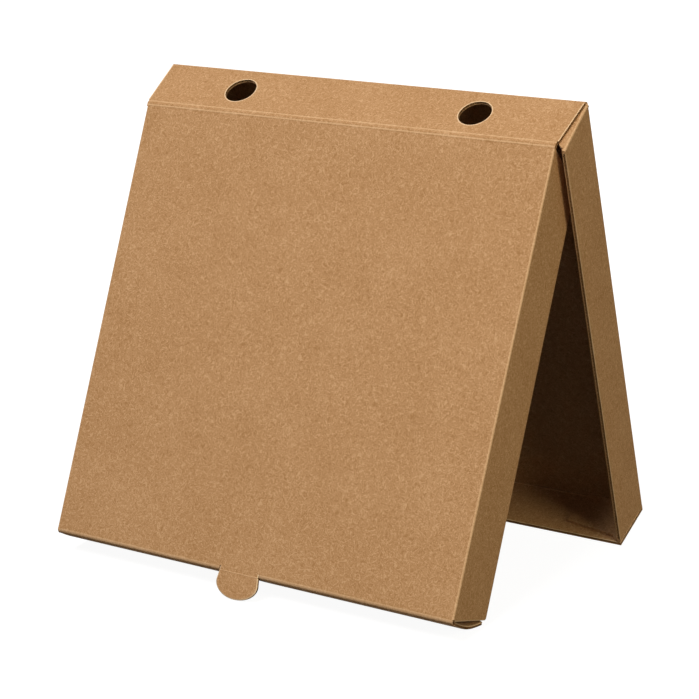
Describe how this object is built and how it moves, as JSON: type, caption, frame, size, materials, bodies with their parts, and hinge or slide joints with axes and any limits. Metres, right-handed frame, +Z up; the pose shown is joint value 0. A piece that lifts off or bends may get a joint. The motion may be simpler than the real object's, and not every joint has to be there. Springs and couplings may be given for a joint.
{
  "type": "pizza box",
  "caption": "Folded kraft corrugated pizza box with a hinged lid, tuck flaps, a thumb tab and vent holes, stood open like a tent.",
  "frame": {"origin": "middle of the footprint, on the floor under the standing box", "axes": "+X along the lid hinge, +Y to the rear, where the base tray's leg stands, +Z up"},
  "size_m": [0.3352, 0.2688, 0.3228],
  "materials": {
    "kraft_board": "matte uncoated kraft paper with faint fibres"
  },
  "bodies": {
    "tray": {"base_tray": "kraft_board"},
    "lid": {"lid": "kraft_board"},
    "front_flap": {"lid_front_flap": "kraft_board"},
    "right_flap": {"lid_right_flap": "kraft_board"},
    "left_flap": {"lid_left_flap": "kraft_board"}
  },
  "joints": [
    {"name": "lid_hinge", "type": "hinge", "parent": "tray", "child": "lid", "pos_m": [-0.00157, -0.00475, 0.29987], "axis": [-1, 0, 0], "range_deg": [-40.95, 138.3]},
    {"name": "front_flap_hinge", "type": "hinge", "parent": "lid", "child": "front_flap", "pos_m": [-0.00157, -0.12656, 0.01642], "axis": [-1, 0, 0], "range_deg": [0, 94]},
    {"name": "right_flap_hinge", "type": "hinge", "parent": "lid", "child": "right_flap", "pos_m": [0.15823, -0.0036, 0.29937], "axis": [0.009, 0.3948, 0.9187], "range_deg": [0, 80]},
    {"name": "left_flap_hinge", "type": "hinge", "parent": "lid", "child": "left_flap", "pos_m": [-0.16137, -0.0036, 0.29937], "axis": [0.009, -0.3948, -0.9187], "range_deg": [0, 80]}
  ]
}
